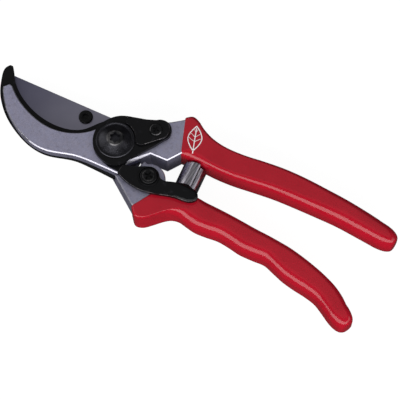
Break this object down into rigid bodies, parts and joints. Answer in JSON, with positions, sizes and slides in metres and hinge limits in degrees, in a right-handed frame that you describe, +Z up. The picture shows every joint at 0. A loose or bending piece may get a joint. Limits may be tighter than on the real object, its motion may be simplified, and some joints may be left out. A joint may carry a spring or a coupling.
{
  "type": "pruning shears",
  "caption": "Bypass pruning shears with a curved cutting blade, a hook counter blade, two dipped grips, a volute spring and a thumb catch, shown closed.",
  "frame": {"origin": "on the pivot axis, in the plane the closed shears lie on", "axes": "+X from the jaws to the handle ends, +Y towards the hook handle, +Z up through the pivot nut"},
  "size_m": [0.2162, 0.0626, 0.0206],
  "materials": {
    "cast_aluminium": "satin, fine shot-blasted casting with bright ground edges",
    "red_vinyl": "glossy dipped vinyl",
    "blackened_steel": "semi-gloss black",
    "blade_steel": "ground steel, satin grey",
    "plain_steel": "plain turned steel",
    "plated_spring": "bright zinc plate",
    "bearing_brass": "turned brass"
  },
  "bodies": {
    "hook_handle": {"hook_handle_frame": "cast_aluminium", "hook_handle_grip": "red_vinyl", "hook_blade": "blackened_steel", "hook_blade_rivets": "plain_steel", "cover_plate": "blackened_steel", "lock_arm": "blackened_steel", "lock_screw": "blackened_steel", "pivot_bolt": "blackened_steel", "pivot_washer": "plain_steel", "pivot_nut": "blackened_steel"},
    "blade_handle": {"blade_handle_frame": "cast_aluminium", "blade_handle_grip": "red_vinyl", "cutting_blade": "blade_steel", "pivot_bushing": "bearing_brass", "blade_screw": "blackened_steel", "blade_nut": "plain_steel", "catch_washer": "plain_steel", "catch_screw": "blackened_steel", "volute_spring": "plated_spring"},
    "catch": {"catch_lever": "blackened_steel"}
  },
  "joints": [
    {"name": "main_pivot", "type": "hinge", "parent": "hook_handle", "child": "blade_handle", "pos_m": [0, 0, 0.008], "axis": [0, 0, -1], "range_deg": [0, 30], "deforming": ["volute_spring"]},
    {"name": "catch_pivot", "type": "hinge", "parent": "blade_handle", "child": "catch", "pos_m": [0.0246, -0.008, 0.017], "axis": [0, 0, 1], "range_deg": [0, 26]}
  ]
}
